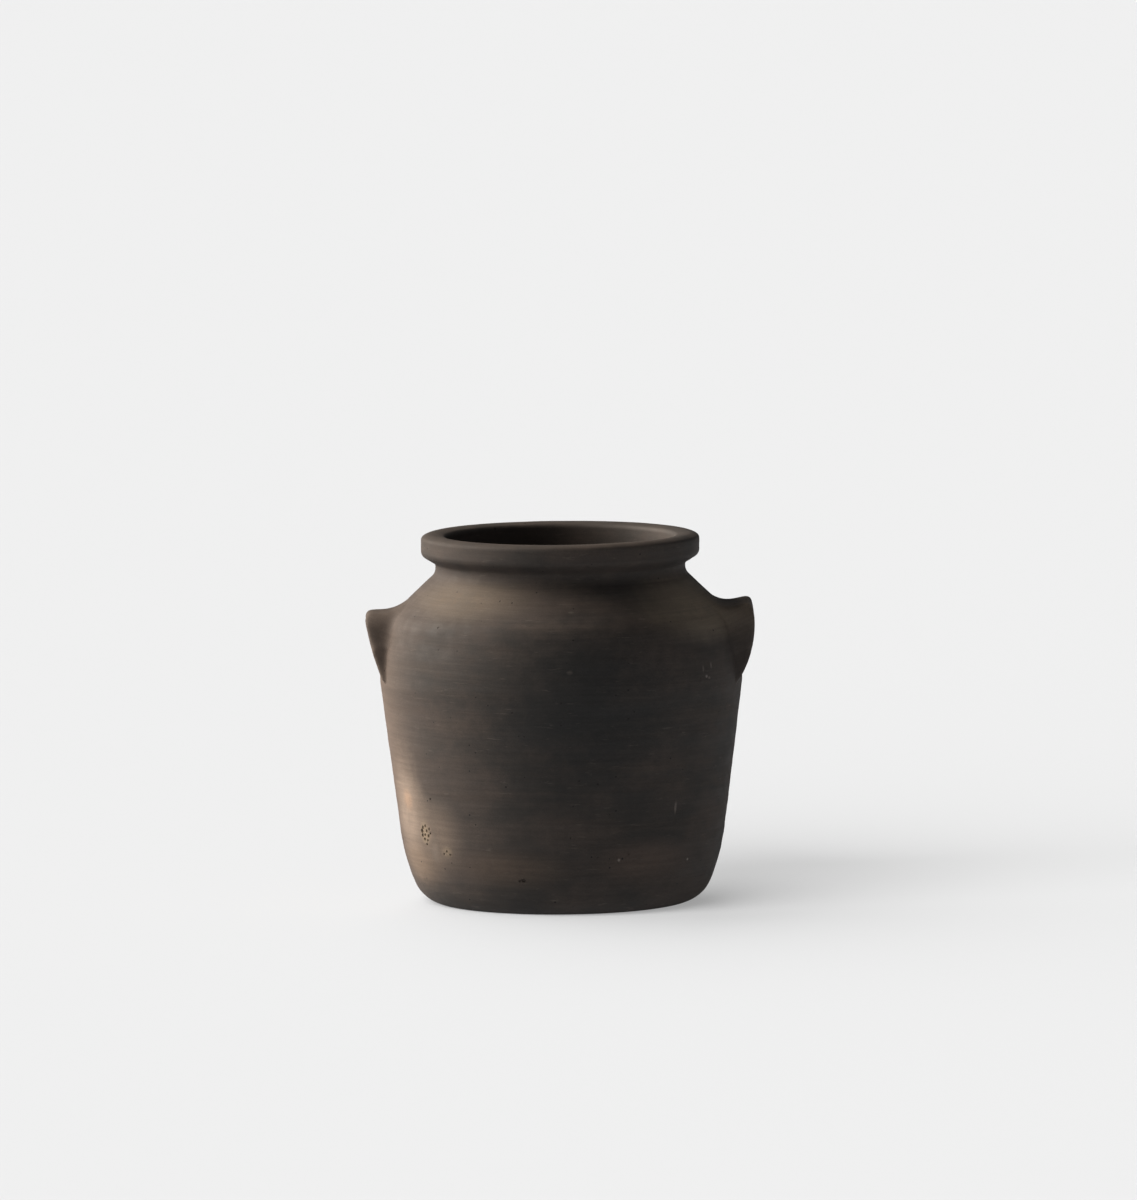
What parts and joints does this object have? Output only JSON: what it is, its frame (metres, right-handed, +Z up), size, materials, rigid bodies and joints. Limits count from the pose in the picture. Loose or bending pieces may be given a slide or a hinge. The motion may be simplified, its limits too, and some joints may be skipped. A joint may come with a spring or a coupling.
{
  "type": "two-lugged clay storage pot",
  "caption": "Round-bellied, matt black clay pot with a short neck, a thick rolled rim and an arched lug on each side of the shoulder.",
  "frame": {"origin": "centre of the flat foot, on the surface that the pot stands on", "axes": "+Z up along the turning axis, +X through the right-hand lug, +Y towards the back"},
  "size_m": [0.322, 0.2994, 0.305],
  "materials": {
    "smoked_clay": "unglazed, matt, smoke-blackened in the firing, with brown and tan clouds"
  },
  "bodies": {
    "root": {"base_pat": "smoked_clay", "lower_wall": "smoked_clay", "belly_wall": "smoked_clay", "shoulder_wall": "smoked_clay", "neck_collar": "smoked_clay", "rim_roll": "smoked_clay", "left_lug": "smoked_clay", "right_lug": "smoked_clay"}
  },
  "joints": []
}
